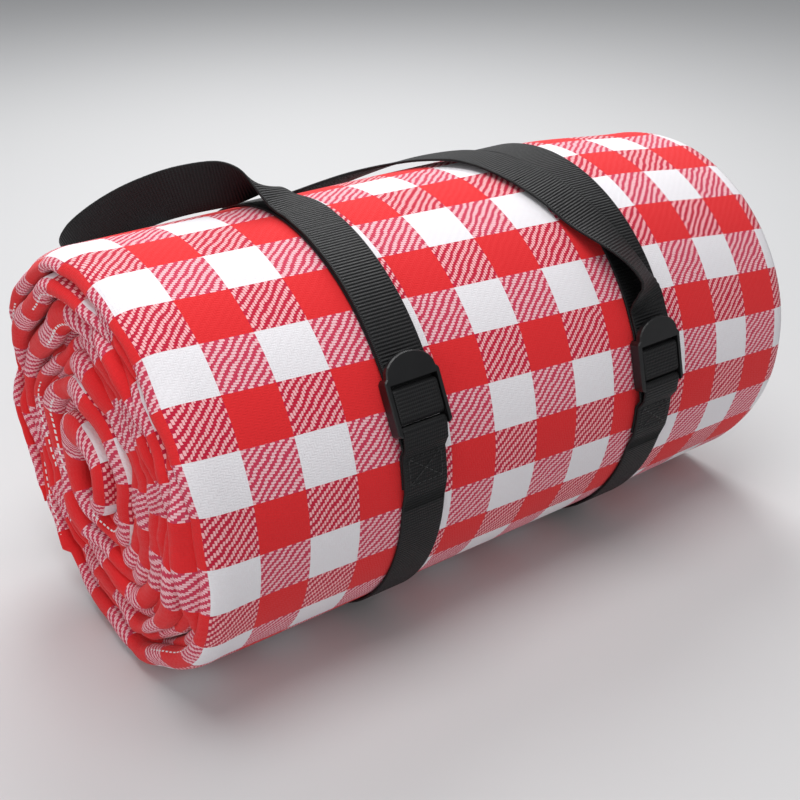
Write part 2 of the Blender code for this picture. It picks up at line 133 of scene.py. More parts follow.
class Nodes:
    """Adds shader nodes to a material with short calls. Every call returns an output socket."""

    def __init__(self, name):
        self.material = bpy.data.materials.new(name)
        self.material.use_nodes = True
        self.tree = self.material.node_tree
        self.shader = self.tree.nodes["Principled BSDF"]

    def _feed(self, socket, value):
        if isinstance(value, bpy.types.NodeSocket):
            self.tree.links.new(value, socket)
        else:
            socket.default_value = value

    def math(self, operation, *values):
        node = self.tree.nodes.new("ShaderNodeMath")
        node.operation = operation
        for socket, value in zip(node.inputs, values):
            self._feed(socket, value)
        return node.outputs[0]

    def mix(self, share, first, second):
        node = self.tree.nodes.new("ShaderNodeMix")
        node.data_type = "RGBA"
        self._feed(node.inputs["Factor"], share)
        self._feed(node.inputs["A"], first)
        self._feed(node.inputs["B"], second)
        return node.outputs["Result"]

    def uv(self, layer):
        node = self.tree.nodes.new("ShaderNodeUVMap")
        node.uv_map = layer
        split = self.tree.nodes.new("ShaderNodeSeparateXYZ")
        self.tree.links.new(node.outputs["UV"], split.inputs[0])
        return split.outputs[0], split.outputs[1]

    def noise(self, scale, detail=2.0, layer=None):
        node = self.tree.nodes.new("ShaderNodeTexNoise")
        node.inputs["Scale"].default_value = scale
        node.inputs["Detail"].default_value = detail
        if layer:
            source = self.tree.nodes.new("ShaderNodeUVMap")
            source.uv_map = layer
            self.tree.links.new(source.outputs["UV"], node.inputs["Vector"])
        else:
            source = self.tree.nodes.new("ShaderNodeTexCoord")
            self.tree.links.new(source.outputs["Object"], node.inputs["Vector"])
        return node.outputs["Fac"]

    def smooth(self, value, low, high):
        """0 below low, 1 above high, and smooth between them."""
        node = self.tree.nodes.new("ShaderNodeMapRange")
        node.interpolation_type = "SMOOTHSTEP"
        self._feed(node.inputs["Value"], value)
        node.inputs["From Min"].default_value = low
        node.inputs["From Max"].default_value = high
        return node.outputs["Result"]

    def bump(self, height, distance, strength=1.0):
        node = self.tree.nodes.new("ShaderNodeBump")
        node.inputs["Strength"].default_value = strength
        node.inputs["Distance"].default_value = distance
        self._feed(node.inputs["Height"], height)
        self.tree.links.new(node.outputs["Normal"], self.shader.inputs["Normal"])

    def set(self, **values):
        for name, value in values.items():
            self._feed(self.shader.inputs[name.replace("_", " ")], value)


def rgb(r, g, b):
    return (r, g, b, 1.0)


# ---------------------------------------------------------------- materials

# Yarns to a check square, and an even number of squares that keeps the counts positive
YARNS = 22.0
SQUARES_BEFORE = 200.0
YARNS_BEFORE = 8000.0
HEM_LINE = -0.27
HEM_HALF_WIDTH = 0.013
RIB_PITCH = 0.0017
WEAVE_PITCH = 0.0011
SELVAGE_PITCH = 0.00085


def yarn_profile(n, phase):
    """Height across a round yarn, from 0 at its edges to 1 on its crown."""
    across = n.math("SUBTRACT", n.math("FRACT", phase), 0.5)
    flat = n.math("MULTIPLY", n.math("MULTIPLY", across, across), 4.0)
    return n.math("SUBTRACT", 1.0, flat)


def hem_stitches(n, u, v):
    """Short runs of white stitches just inside the left folds."""
    from_line = n.math("ABSOLUTE", n.math("SUBTRACT", u, HEM_LINE))
    on_line = n.math("LESS_THAN", from_line, HEM_HALF_WIDTH)
    dash = n.math("LESS_THAN", n.math("FRACT", n.math("MULTIPLY", v, 6.0)), 0.6)
    run = n.math("GREATER_THAN", n.math("SINE", n.math("MULTIPLY", v, 0.83)), 0.6)
    return n.math("MULTIPLY", n.math("MULTIPLY", on_line, dash), run)


def gingham_material():
    """A two-colour check woven as a two-and-two twill. The UV map counts check squares."""
    n = Nodes("gingham_twill")
    u, v = n.uv("cloth")
    wobble = n.math("MULTIPLY", n.math("SUBTRACT", n.noise(3.0, 3.0, "cloth"), 0.5), 0.10)
    warp = n.math("MULTIPLY", n.math("ADD", u, wobble), YARNS)
    weft = n.math("MULTIPLY", n.math("ADD", v, wobble), YARNS)
    red_column = n.math("MODULO", n.math("FLOOR", n.math("ADD", u, SQUARES_BEFORE)), 2.0)
    red_row = n.math("MODULO", n.math("FLOOR", n.math("ADD", v, SQUARES_BEFORE)), 2.0)
    step = n.math("ADD", n.math("FLOOR", warp), n.math("FLOOR", weft))
    warp_up = n.math("LESS_THAN", n.math("MODULO", n.math("ADD", step, YARNS_BEFORE), 4.0), 2.0)
    warp_height = yarn_profile(n, warp)
    weft_height = yarn_profile(n, weft)
    height = n.mix(warp_up, weft_height, warp_height)

    red = rgb(0.78, 0.022, 0.026)
    crimson = rgb(0.56, 0.012, 0.045)
    white = rgb(0.88, 0.87, 0.90)
    solid = n.mix(red_row, white, red)
    # The pale floats fade to crimson towards their edges: partly the red yarn showing between them, partly
    # painted shade along the yarn edges.
    dash = n.smooth(n.math("MULTIPLY", warp_up, warp_height), 0.22, 0.50)
    in_red_row = n.mix(dash, crimson, rgb(0.95, 0.50, 0.52))
    float_on_top = n.smooth(n.math("MULTIPLY", n.math("SUBTRACT", 1.0, warp_up), weft_height), 0.12, 0.40)
    in_white_row = n.mix(float_on_top, rgb(0.62, 0.045, 0.10), rgb(0.92, 0.56, 0.60))
    halftone = n.mix(red_row, in_white_row, in_red_row)
    same = n.math("COMPARE", red_column, red_row, 0.1)
    # Painted shade: the grooves between yarns are darkened, towards dark red in the solid squares and
    # towards a darker crimson in the half-tone squares.
    groove = n.smooth(height, 0.0, 0.45)
    shade = n.math("ADD", n.math("MULTIPLY", groove, 0.10), 0.90)
    solid_with_groove_shade = n.mix(n.math("ADD", n.math("MULTIPLY", groove, 0.05), 0.95), rgb(0.42, 0.05, 0.06), solid)
    halftone_with_groove_shade = n.mix(shade, rgb(0.30, 0.006, 0.02), halftone)
    colour = n.mix(same, halftone_with_groove_shade, solid_with_groove_shade)
    colour = n.mix(hem_stitches(n, u, v), colour, rgb(0.90, 0.88, 0.88))
    fuzz = n.noise(9.0, 4.0, "cloth")
    n.set(Base_Color=n.mix(n.math("MULTIPLY", fuzz, 0.06), colour, rgb(0.60, 0.02, 0.03)))
    n.set(Roughness=n.math("ADD", 0.78, n.math("MULTIPLY", fuzz, 0.12)))
    n.set(Sheen_Weight=0.10, Sheen_Roughness=0.5, Specular_IOR_Level=0.2)
    n.bump(n.math("ADD", height, n.math("MULTIPLY", fuzz, 0.5)), 0.00022, 0.5)
    return n.material


def backing_material():
    n = Nodes("coated_backing")
    fine = n.noise(900.0, 3.0)
    broad = n.noise(60.0, 3.0)
    n.set(Base_Color=n.mix(broad, rgb(0.58, 0.59, 0.61), rgb(0.68, 0.69, 0.70)))
    n.set(Roughness=n.math("ADD", 0.36, n.math("MULTIPLY", fine, 0.2)), Sheen_Weight=0.05)
    n.bump(n.math("ADD", broad, n.math("MULTIPLY", fine, 0.25)), 0.0006, 0.4)
    return n.material


def binding_material():
    n = Nodes("edge_binding")
    _, v = n.uv("cloth")
    ribs = n.math("SINE", n.math("MULTIPLY", v, 160.0))
    fuzz = n.noise(1400.0, 3.0)
    n.set(Base_Color=n.mix(fuzz, rgb(0.50, 0.008, 0.012), rgb(0.66, 0.014, 0.018)))
    n.set(Roughness=n.math("ADD", 0.72, n.math("MULTIPLY", fuzz, 0.15)), Sheen_Weight=0.2)
    n.bump(ribs, 0.0002, 0.5)
    return n.material


def webbing_material():
    """Black nylon webbing with ribs across it. The UV map is in metres, across and along."""
    n = Nodes("black_webbing")
    across, along = n.uv("web")
    rib = n.math("SINE", n.math("MULTIPLY", along, 2.0 * math.pi / RIB_PITCH))
    weave = n.math("SINE", n.math("MULTIPLY", across, 2.0 * math.pi / WEAVE_PITCH))
    edge_rib = n.math("SINE", n.math("MULTIPLY", along, 2.0 * math.pi / SELVAGE_PITCH))
    edge = n.smooth(n.math("ABSOLUTE", across), 0.0108, 0.0116)
    body = n.math("ADD", rib, n.math("MULTIPLY", weave, 0.25))
    selvage = n.math("MULTIPLY", edge_rib, 0.5)
    height = n.math("ADD", n.math("MULTIPLY", body, n.math("SUBTRACT", 1.0, edge)),
                    n.math("MULTIPLY", selvage, edge))
    fuzz = n.noise(700.0, 4.0)
    # Painted shade: the base colour darkens in the grooves between the ribs and is lighter on their crowns.
    lift = n.smooth(height, -0.9, 1.1)
    n.set(Base_Color=n.mix(lift, rgb(0.0015, 0.0015, 0.002), rgb(0.008, 0.008, 0.0085)))
    n.set(Roughness=n.math("ADD", 0.48, n.math("MULTIPLY", fuzz, 0.2)))
    n.set(Specular_IOR_Level=0.32)
    n.bump(n.math("ADD", height, n.math("MULTIPLY", fuzz, 0.4)), 0.00022, 0.8)
    return n.material


def buckle_material():
    n = Nodes("moulded_black_plastic")
    grain = n.noise(2600.0, 2.0)
    broad = n.noise(90.0, 3.0)
    n.set(Base_Color=n.mix(broad, rgb(0.003, 0.003, 0.0035), rgb(0.006, 0.006, 0.0065)))
    n.set(Roughness=n.math("ADD", 0.30, n.math("MULTIPLY", broad, 0.16)), Specular_IOR_Level=0.5)
    n.bump(grain, 0.00006, 0.35)
    return n.material


def thread_material():
    n = Nodes("black_thread")
    twist = n.noise(3500.0, 2.0)
    n.set(Base_Color=n.mix(twist, rgb(0.004, 0.004, 0.0045), rgb(0.012, 0.012, 0.0125)))
    n.set(Roughness=n.math("ADD", 0.5, n.math("MULTIPLY", twist, 0.2)), Sheen_Weight=0.2)
    n.bump(twist, 0.0001, 0.6)
    return n.material


def floor_material():
    n = Nodes("pale_floor")
    broad = n.noise(1.5, 2.0)
    n.set(Base_Color=n.mix(broad, rgb(0.62, 0.62, 0.63), rgb(0.65, 0.65, 0.65)), Roughness=0.75)
    return n.material


# ---------------------------------------------------------------- geometry helpers

def on_roll(x, angle, radius):
    a = math.radians(angle)
    return Vector((x, -radius * math.sin(a), AXIS_HEIGHT + radius * math.cos(a)))


def buckle_point(angle, u, h, x):
    """A point in a buckle's own measure: u down from the tab's tip, h out from its underside."""
    a = math.radians(angle)
    outward = Vector((0.0, -math.sin(a), math.cos(a)))
    down = Vector((0.0, -math.cos(a), -math.sin(a)))
    origin = Vector((x, 0.0, AXIS_HEIGHT)) + outward * (LOOP_RADIUS - WEB_THICK / 2)
    return origin + outward * h + down * (u - BUCKLE_LENGTH / 2)


def u_to_angle(buckle_angle, u):
    return buckle_angle + math.degrees((u - BUCKLE_LENGTH / 2) / LOOP_RADIUS)


def smoothstep(t):
    t = np.clip(t, 0.0, 1.0)
    return t * t * (3.0 - 2.0 * t)


def link(name, mesh, smooth=True):
    obj = bpy.data.objects.new(name, mesh)
    bpy.context.scene.collection.objects.link(obj)
    if smooth:
        mesh.polygons.foreach_set("use_smooth", [True] * len(mesh.polygons))
    return obj


def smooth_route(points, spacing):
    """A smooth curve through the points, read at even distances along it."""
    rows = [np.array(p, float) for p in points]
    rows = [rows[0] * 2 - rows[1]] + rows + [rows[-1] * 2 - rows[-2]]
    fine = []
    for k in range(1, len(rows) - 2):
        p0, p1, p2, p3 = rows[k - 1:k + 3]
        for t in np.linspace(0.0, 1.0, 24, endpoint=False):
            fine.append((p1 * 2 + (p2 - p0) * t + (p0 * 2 - p1 * 5 + p2 * 4 - p3) * t ** 2
                         + (p1 * 3 - p0 - p2 * 3 + p3) * t ** 3) * 0.5)
    fine.append(rows[-2])
    return even_route(np.array(fine), spacing)


def even_route(fine, spacing):
    """Read a polyline at even distances. Only the first three columns count as distance."""
    steps = np.linalg.norm(np.diff(fine[:, :3], axis=0), axis=1)
    along = np.concatenate(([0.0], np.cumsum(steps)))
    wanted = np.linspace(0.0, along[-1], max(2, int(along[-1] / spacing) + 1))
    return np.stack([np.interp(wanted, along, fine[:, c]) for c in range(fine.shape[1])], axis=1)


def round_corners(points, radius):
    """Replace each corner of a polyline by a short arc-like curve."""
    rows = [Vector(p) for p in points]
    out = [rows[0]]
    for before, corner, after in zip(rows, rows[1:], rows[2:]):
        back = before - corner
        ahead = after - corner
        reach = min(radius, back.length * 0.48, ahead.length * 0.48)
        first = corner + back.normalized() * reach
        last = corner + ahead.normalized() * reach
        for t in (0.0, 0.2, 0.4, 0.6, 0.8, 1.0):
            out.append(first * (1 - t) ** 2 + corner * 2 * t * (1 - t) + last * t ** 2)
    out.append(rows[-1])
    return out


# ---------------------------------------------------------------- blanket

# The check squares along and round the roll, where the first is, and how far the rows slope
CELL_ALONG = 0.02669
CELL_ROUND = 0.0246
FIRST_COLUMN = 7.1
FIRST_COLUMN_X = -0.00107
FIRST_ROW = 16.64 / 13.19
FIRST_ROW_TURN = 0.35
ROW_SLOPE = 0.0675
INNER_TURN = 5.8
RING_STEP = 0.0033
# The left end's folds are shaped over this length, and the outermost ones stand back a little
RIM_START = 0.045
TIP_START = 0.024
RIM_SETBACK = 0.0035
RIGHT_RIM_START = 0.030
RIM_ROUND = 0.016
RIM_DROP = 0.0042
RIGHT_RIM_ROUND = 0.012
RIGHT_RIM_DROP = 0.0030
DROP_FADE = 0.022
WANDER = 0.0054
WANDER_WAVELENGTH = 0.080
# The roll tapers by this share from this x to its right end
TAPER = 0.036
TAPER_START = 0.094
# The fold between the two open edges stands back from them
RIGHT_FOLD_X = ROLL_HALF - SHEET_PITCH - 0.0065


def fold_noise(position, wavelength, seed):
    """Smooth random values from -1 to 1 along a line."""
    random = np.random.RandomState(seed)
    knots = random.uniform(-1.0, 1.0, 600)
    place = np.clip(position / wavelength, 0.0, 597.0)
    index = place.astype(int)
    share = smoothstep(place - index)
    return knots[index] * (1 - share) + knots[index + 1] * share


def field_noise(y, z, wavelength, seed):
    """Smooth random values from about -1 to 1 over the roll's end."""
    random = np.random.RandomState(seed)
    total = np.zeros_like(y)
    for _ in range(5):
        heading = random.uniform(0.0, 2.0 * math.pi)
        pitch = 2.0 * math.pi / (wavelength * random.uniform(0.7, 1.5))
        total += np.sin(pitch * (y * math.cos(heading) + z * math.sin(heading)) + random.uniform(0, 6.3))
    return total / 2.6


def turn_depth(turn):
    """How far the pack's outer face has sunk below the roll's surface, in pack thicknesses."""
    dip = TAIL_SQUEEZE * smoothstep((turn - 0.86) / 0.11)
    grow = TAIL_SQUEEZE + (1.0 - TAIL_SQUEEZE) * (turn - 1.0) / 0.9
    tuck = TAIL_TUCK * (1.0 - smoothstep(turn / 0.05))
    return np.where(turn <= 1.0, dip + tuck, np.where(turn <= 1.9, grow, turn - 0.9))


def layer_stations(fine):
    """x along one layer from the left fold to the right end, closer together at the ends."""
    left = -ROLL_HALF + SHEET_PITCH
    right = RIGHT_FOLD_X
    end_step = 0.0022 if fine else 0.003
    body_step = 0.0065 if fine else 0.030
    left_run = np.arange(left, left + RIM_START, end_step)
    right_run = np.arange(right, right - RIGHT_RIM_START, -0.003)[::-1]
    body = np.linspace(left_run[-1], right_run[0], int((right_run[0] - left_run[-1]) / body_step) + 1)
    return np.concatenate((left_run, body[1:-1], right_run))


def folded_line():
    """The sheet's middle line across the pack: x, height, facing x, facing height, left fold number."""
    mid = SHEET_PITCH / 2
    left = -ROLL_HALF + SHEET_PITCH
    right = RIGHT_FOLD_X
    rows = []

    def layer(height, facing, fold, leftwards, fine=False):
        stations = layer_stations(fine)
        for x in (stations[::-1] if leftwards else stations):
            rows.append((x, height, 0.0, facing, fold))

    def turn_back(x, height, outwards, fold):
        start, finish = (90.0, 270.0) if outwards > 0 else (90.0, -90.0)
        for angle in np.linspace(start, finish, 13)[1:-1]:
            c = math.cos(math.radians(angle))
            s = math.sin(math.radians(angle))
            rows.append((x + mid * c, height + mid * s, outwards * c, outwards * s, fold))

    hems = (ROLL_HALF - 0.001, ROLL_HALF - 0.004, ROLL_HALF - 0.007)
    rows += [(x, PACK_THICK - mid, 0.0, 1.0, 0) for x in hems]
    layer(PACK_THICK - mid, 1.0, 0, True, True)
    turn_back(left, PACK_THICK * 0.75, 1.0, 0)
    layer(PACK_THICK * 0.5 + mid, -1.0, 0, False)
    turn_back(right, PACK_THICK * 0.5, -1.0, 1)
    layer(PACK_THICK * 0.5 - mid, 1.0, 1, True)
    turn_back(left, PACK_THICK * 0.25, 1.0, 1)
    layer(mid, -1.0, 1, False)
    rows += [(x, mid, 0.0, -1.0, 1) for x in hems[::-1]]
    return np.array(rows)


def wound_length(turns, radius):
    """The length of a spiral up to each turn."""
    return np.concatenate(([0.0], np.cumsum((radius[1:] + radius[:-1]) / 2 * np.diff(turns) * 2 * math.pi)))


def pack_rings():
    """Turns at which the pack is cut into rings, and the sheet's length from its outer end there."""
    dense = np.linspace(0.0, INNER_TURN, 12000)
    outer = ROLL_RADIUS - PACK_THICK * turn_depth(dense)
    inner = ROLL_RADIUS - PACK_THICK * turn_depth(dense + 1.0)
    run = wound_length(dense, (outer + inner) / 2)
    surface = wound_length(dense, outer)
    lengths = np.linspace(0.0, run[-1], int(run[-1] / RING_STEP))
    turns = np.interp(lengths, run, dense)
    return turns, lengths, np.interp(turns, dense, surface)


def fold_character(fold, length, angle):
    """How far each left fold stands back, how fat it is and how it leans, along the roll-up."""
    trade = fold_noise(length, 0.062, 11)
    crest = np.exp(-((angle - 318.0) / 30.0) ** 2)
    trade = np.clip(trade * 1.15 + crest, -1.0, 1.0)
    outer = fold == 0
    push = np.where(outer, -0.0030 * trade, 0.0030 + 0.0048 * trade)
    swell = np.where(outer, 0.40 + 0.46 * trade, 0.08 - 0.42 * trade)
    lean = np.where(outer, -0.0032 * np.maximum(trade, 0.0), -0.0016 * np.minimum(trade, 0.0))
    for wavelength, depth, seed in ((0.027, 0.0020, 21), (0.012, 0.0009, 31), (0.0062, 0.0004, 41)):
        push = push + depth * np.where(outer, fold_noise(length, wavelength, seed),
                                       fold_noise(length, wavelength, seed + 1))
        swell = swell + 70.0 * depth * np.where(outer, fold_noise(length, wavelength, seed + 2),
                                                fold_noise(length, wavelength, seed + 3))
        lean = lean + 0.45 * depth * np.where(outer, fold_noise(length, wavelength, seed + 4),
                                              fold_noise(length, wavelength, seed + 5))
    return push, swell, lean


def shape_left_end(x, height, fold, turn, length):
    """Push the folds in and out, swell them and let them wander, so that no two are alike."""
    reach = 1.0 - smoothstep((x + ROLL_HALF) / RIM_START)
    tip = 1.0 - smoothstep((x + ROLL_HALF) / TIP_START)
    push, swell, lean = fold_character(fold, length, TAIL_ANGLE + 360.0 * turn)
    centre = np.where(fold == 0, PACK_THICK * 0.75, PACK_THICK * 0.25)
    on_rim = (fold == 0) & (turn < 0.95)
    quiet = np.where(on_rim, 0.55, 1.0)
    push = push + np.where(on_rim, RIM_SETBACK, 0.0)
    round_x = SHEET_PITCH - ROLL_HALF
    beyond = np.minimum(x - round_x, 0.0)
    x = x + beyond * 0.7 * swell + push * quiet * reach
    height = centre + (height - centre) * (1.0 + swell * tip) + lean * tip
    return x, height


def shape_right_end(x, height, turn, length):
    """The open edges: the two hems and the fold between them end at slightly different places."""
    reach = smoothstep((x - ROLL_HALF + RIGHT_RIM_START) / RIGHT_RIM_START)
    band = np.clip(height / PACK_THICK, 0.0, 1.0)
    outer = fold_noise(length, 0.050, 81)
    middle = fold_noise(length, 0.038, 82)
    inner = fold_noise(length, 0.045, 83)
    edge = np.where(band > 0.75, outer, np.where(band > 0.25, middle, inner))
    calm = np.where((turn < 0.95) & (band > 0.75), 0.3, 1.0)
    x = x + (0.0026 * edge - 0.0012) * calm * reach
    height = height + 0.0009 * fold_noise(length, 0.020, 84) * reach * np.where(turn < 0.95, 0.2, 1.0)
    return x, height


def place_on_roll(x, height, turn):
    """Wind the pack's cross-section up: (x, height, turn) to a point of the roll."""
    angle = np.radians(TAIL_ANGLE + 360.0 * turn)
    outer = ROLL_RADIUS - PACK_THICK * turn_depth(turn)
    inner = ROLL_RADIUS - PACK_THICK * turn_depth(turn + 1.0)
    radius = inner + (outer - inner) * height / PACK_THICK
    at_end = 1.0 - smoothstep((x + ROLL_HALF) / RIM_START)
    rim = np.clip((-ROLL_HALF + RIM_ROUND - x) / RIM_ROUND, 0.0, 1.0) ** 2
    radius = radius - RIM_DROP * rim * np.exp(-(ROLL_RADIUS - radius) / DROP_FADE)
    right_rim = np.clip((x - ROLL_HALF + RIGHT_RIM_ROUND) / RIGHT_RIM_ROUND, 0.0, 1.0) ** 2
    radius = radius - RIGHT_RIM_DROP * right_rim * np.exp(-(ROLL_RADIUS - radius) / DROP_FADE)
    from_bottom = np.abs((np.degrees(angle) % 360.0) - 180.0)
    flat = np.where(from_bottom < FLAT_ANGLE,
                    math.cos(math.radians(FLAT_ANGLE)) / np.cos(np.radians(from_bottom)), 1.0)
    radius = radius * flat
    y = -radius * np.sin(angle)
    z = radius * np.cos(angle)
    freedom = at_end * (1.0 - 0.8 * np.clip(radius / ROLL_RADIUS, 0.0, 1.0) ** 5)
    shift_y = WANDER * field_noise(y, z, WANDER_WAVELENGTH, 5) * freedom
    shift_z = WANDER * field_noise(y, z, WANDER_WAVELENGTH, 6) * freedom
    shrink = 1.0 - TAPER * smoothstep((x - TAPER_START) / (ROLL_HALF - TAPER_START))
    axis = BASE_HEIGHT + (AXIS_HEIGHT - BASE_HEIGHT) * shrink
    return np.stack([x, (y + shift_y) * shrink, axis + (z + shift_z) * shrink], axis=-1)


def grid_mesh(name, sides, uvs, slots):
    """A closed sheet from its two sides, each a grid of points, joined along all four edges."""
    rings, count, _ = sides[0].shape
    verts = np.concatenate([side.reshape(-1, 3) for side in sides])
    index = np.arange(rings * count).reshape(rings, count)
    back = index + rings * count
    a, b, c, d = index[:-1, :-1], index[1:, :-1], index[1:, 1:], index[:-1, 1:]
    quads = [np.stack([a, b, c, d], axis=-1).reshape(-1, 4)]
    quads.append(np.stack([a, d, c, b], axis=-1).reshape(-1, 4) + rings * count)
    for line, other in ((index[0], back[0]), (index[-1][::-1], back[-1][::-1]),
                        (index[:, 0][::-1], back[:, 0][::-1]), (index[:, -1], back[:, -1])):
        quads.append(np.stack([line[:-1], line[1:], other[1:], other[:-1]], axis=-1))
    faces = np.concatenate(quads)
    mesh = bpy.data.meshes.new(name)
    mesh.from_pydata(verts.tolist(), [], faces.tolist())
    layer = mesh.uv_layers.new(name="cloth")
    flat_uv = np.concatenate([uvs.reshape(-1, 2), uvs.reshape(-1, 2)])
    layer.data.foreach_set("uv", flat_uv[faces.reshape(-1)].astype(np.float32).reshape(-1))
    side_slots = [np.full(len(q), slot) for q, slot in zip(quads, slots)]
    mesh.polygons.foreach_set("material_index", np.concatenate(side_slots).astype(np.int32))
    return mesh


def sheet_sides(line, turns, lengths):
    """The points of the sheet's two sides, the printed one first."""
    shape = (len(turns), len(line))
    fold = np.broadcast_to(line[:, 4], shape)
    turn = np.broadcast_to(turns[:, None], shape)
    length = np.broadcast_to(lengths[:, None], shape)
    sides = []
    for offset in (SHEET_THICK / 2, -SHEET_THICK / 2):
        grid_x = np.broadcast_to(line[:, 0] + offset * line[:, 2], shape).copy()
        grid_h = np.broadcast_to(line[:, 1] + offset * line[:, 3], shape).copy()
        grid_x, grid_h = shape_left_end(grid_x, grid_h, fold, turn, length)
        grid_x, grid_h = shape_right_end(grid_x, grid_h, turn, length)
        sides.append(place_on_roll(grid_x, grid_h, turn))
    return sides


def check_uvs(line, turns, surface):
    """UVs that count check squares over the printed side, and that side's width across the folds."""
    face_x = line[:, 0] + SHEET_THICK / 2 * line[:, 2]
    face_h = line[:, 1] + SHEET_THICK / 2 * line[:, 3]
    run = np.concatenate(([0.0], np.cumsum(np.hypot(np.diff(face_x), np.diff(face_h)))))
    column = FIRST_COLUMN + (face_x[0] - FIRST_COLUMN_X) / CELL_ALONG - run / CELL_ALONG
    row = (surface - np.interp(FIRST_ROW_TURN, turns, surface)) / CELL_ROUND - FIRST_ROW
    uvs = np.stack([np.broadcast_to(column, (len(turns), len(line))),
                    row[:, None] - ROW_SLOPE * (column[None, :] - FIRST_COLUMN)], axis=-1)
    return uvs, run[-1]


def build_blanket(materials):
    """The whole blanket: a sheet about 1.5 m by 2.2 m, folded four deep and rolled up."""
    line = folded_line()
    turns, lengths, surface = pack_rings()
    uvs, width = check_uvs(line, turns, surface)
    mesh = grid_mesh("blanket_sheet", sheet_sides(line, turns, lengths), uvs, (0, 1, 2, 2, 2, 2))
    for slot in ("face_cloth", "backing", "binding"):
        mesh.materials.append(materials[slot])
    sheet = link("blanket_sheet", mesh)
    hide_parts("blanket_face_cloth", "blanket_foam", "blanket_backing", "blanket_end_binding")
    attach(sheet, "rolled_blanket")


# ---------------------------------------------------------------- webbing

def web_section():
    """Outline of the webbing: across, out. Its edges are rounded."""
    half = WEB_THICK / 2
    flat = WEB_WIDTH / 2 - half
    points = [(-flat + 2 * flat * k / 6, half) for k in range(7)]
    points += [(flat + half * math.sin(math.radians(a)), half * math.cos(math.radians(a)))
               for a in (30, 60, 90, 120, 150)]
    points += [(flat - 2 * flat * k / 6, -half) for k in range(7)]
    points += [(-flat - half * math.sin(math.radians(a)), -half * math.cos(math.radians(a)))
               for a in (30, 60, 90, 120, 150)]
    return points


def sweep_section(route, section):
    """The section's points at each row of a route: a middle point and the direction across it."""
    last = len(route) - 1
    verts = []
    for k in range(last + 1):
        middle = Vector(route[k][:3])
        tangent = (Vector(route[min(k + 1, last)][:3]) - Vector(route[max(k - 1, 0)][:3])).normalized()
        across = Vector(route[k][3:])
        across = (across - tangent * across.dot(tangent)).normalized()
        normal = across.cross(tangent)
        verts += [middle + across * a + normal * h for a, h in section]
    return verts


def tube_faces(rows, count):
    """Faces round a swept section, and the two that close its ends."""
    faces = []
    for k in range(rows - 1):
        for i in range(count):
            j = (i + 1) % count
            faces.append((k * count + i, k * count + j, (k + 1) * count + j, (k + 1) * count + i))
    faces.append(tuple(range(count)))
    faces.append(tuple((rows - 1) * count + i for i in range(count)))
    return faces


def build_webbing(name, route, material, start_along=0.0):
    """Webbing along a route. Its UV map is in metres, across and along."""
    section = web_section()
    count = len(section)
    along = [start_along]
    for before, after in zip(route, route[1:]):
        along.append(along[-1] + (Vector(after[:3]) - Vector(before[:3])).length)
    mesh = bpy.data.meshes.new(name)
    mesh.from_pydata([tuple(v) for v in sweep_section(route, section)], [], tube_faces(len(route), count))
    edit = bmesh.new()
    edit.from_mesh(mesh)
    layer = edit.loops.layers.uv.new("web")
    for face in edit.faces:
        for loop in face.loops:
            ring, place = divmod(loop.vert.index, count)
            loop[layer].uv = (section[place][0], along[ring])
    bmesh.ops.recalc_face_normals(edit, faces=edit.faces)
    edit.to_mesh(mesh)
    edit.free()
    mesh.materials.append(material)
    return link(name, mesh)


def level(points):
    """Rows of a route whose across direction is along the roll."""
    return [(p[0], p[1], p[2], 1.0, 0.0, 0.0) for p in points]


def loop_points(x, buckle_angle):
    """From above the buckle, over the top, round and under, over the bottom bar and back beneath."""
    half = WEB_THICK / 2
    upper = LOOP_RADIUS + WEB_THICK + GAP
    start = u_to_angle(buckle_angle, LOOP_START_U)
    finish = u_to_angle(buckle_angle, BUCKLE_LENGTH + SEWN_RAMP[1]) - 360.0
    points = []
    for angle in np.append(np.arange(start, finish, -ROW_ANGLE), finish):
        from_bottom = abs((angle % 360.0) - 180.0)
        radius = LOOP_RADIUS
        if from_bottom < FLAT_ANGLE:
            radius = (AXIS_HEIGHT - half) / math.cos(math.radians(from_bottom))
        points.append(on_roll(x, angle, radius))
    for u in np.linspace(SEWN_RAMP[0], 0.010, 9):
        points.append(on_roll(x, u_to_angle(buckle_angle, BUCKLE_LENGTH + u), upper))
    points.append(buckle_point(buckle_angle, BUCKLE_LENGTH + 0.0062, 0.0030, x))
    ring = PIVOT_H - half
    for turn in np.radians(np.linspace(180.0, 0.0, 13)):
        points.append(buckle_point(buckle_angle, PIVOT_U - ring * math.sin(turn),
                                   PIVOT_H - ring * math.cos(turn), x))
    points.append(buckle_point(buckle_angle, BUCKLE_LENGTH + 0.006, half, x))
    for u in np.linspace(0.010, SEWN_LENGTH, 9):
        points.append(on_roll(x, u_to_angle(buckle_angle, BUCKLE_LENGTH + u), LOOP_RADIUS))
    return points


def tail_row(ends, angle, twist):
    """One row of a tail's route. A twist lifts the tail's left edge off the loop."""
    first, buckle_x, top_x = ends
    share = (first - angle) / (first - HANDLE_ANGLE)
    run = math.radians(first - angle) * UPPER_RADIUS
    tilt = math.radians(twist) * smoothstep(run / TWIST_START)
    tilt = tilt * (1.0 - smoothstep((run - TWIST_HOLD) / TWIST_END))
    x = buckle_x + (top_x - buckle_x) * share + (1.0 - math.cos(tilt)) * WEB_WIDTH / 2
    middle = on_roll(x, angle, UPPER_RADIUS + math.sin(tilt) * WEB_WIDTH / 2)
    a = math.radians(angle)
    return (*middle, math.cos(tilt), math.sin(a) * math.sin(tilt), -math.cos(a) * math.sin(tilt))


